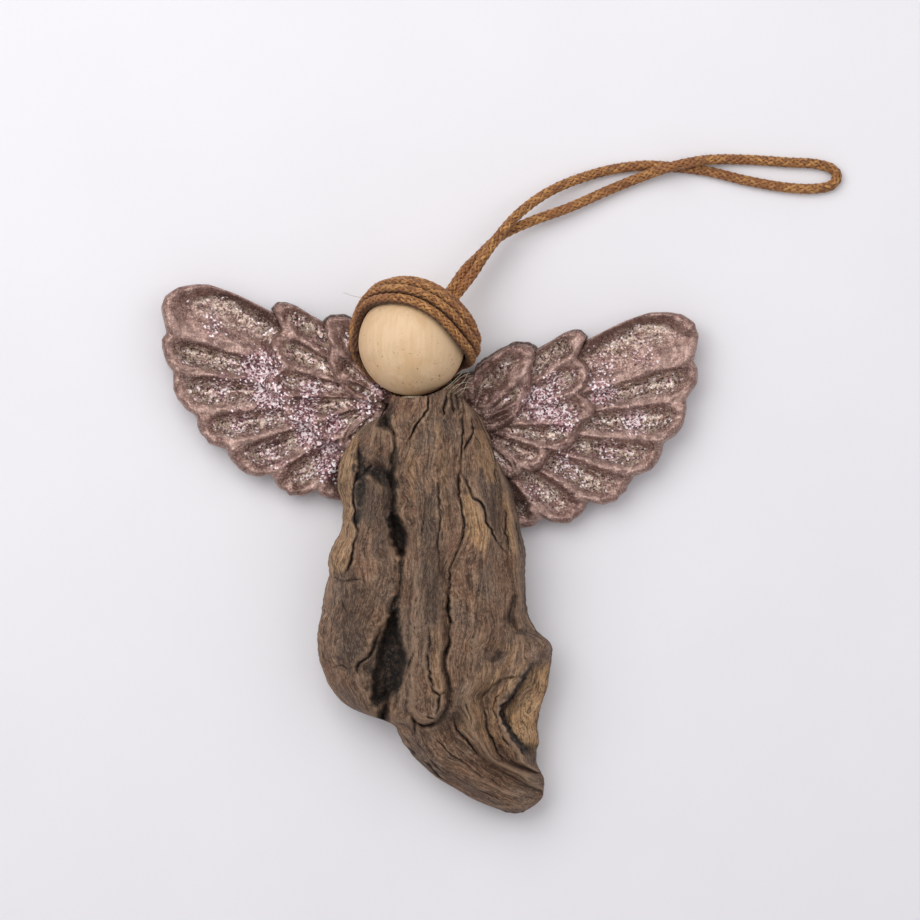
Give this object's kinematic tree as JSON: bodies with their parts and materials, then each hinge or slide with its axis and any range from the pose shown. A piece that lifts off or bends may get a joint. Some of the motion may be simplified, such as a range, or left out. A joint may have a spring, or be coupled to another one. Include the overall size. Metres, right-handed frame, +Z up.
{
  "type": "angel ornament",
  "caption": "Hanging angel ornament: a driftwood body with a wooden ball head, wound cord hair, cast feather wings and a cord loop.",
  "frame": {"origin": "middle of the flat back of the driftwood, on the surface that the ornament lies on", "axes": "+X to the right wing in the picture, +Y to the head, +Z up out of the face"},
  "size_m": [0.1287, 0.1247, 0.0225],
  "materials": {
    "driftwood": "weathered grey-brown driftwood with charred hollows",
    "head_wood": "bare sanded pale wood",
    "cord": "waxed cotton cord",
    "wing_cast": "cast resin rubbed with mauve metallic paint, worn silver and glitter",
    "glue": "clear hot glue"
  },
  "bodies": {
    "angel": {"driftwood_body": "driftwood", "wooden_head": "head_wood", "hair_winding": "cord", "left_wing": "wing_cast", "right_wing": "wing_cast", "left_wing_glue": "glue", "right_wing_glue": "glue", "neck_glue": "glue", "loop_glue": "glue"},
    "loop": {"hanging_loop": "cord"}
  },
  "joints": [
    {"name": "loop_swing", "type": "hinge", "parent": "angel", "child": "loop", "pos_m": [0.00502, 0.04805, 0.00794], "axis": [0, 0, 1], "range_deg": [-15, 75]}
  ]
}
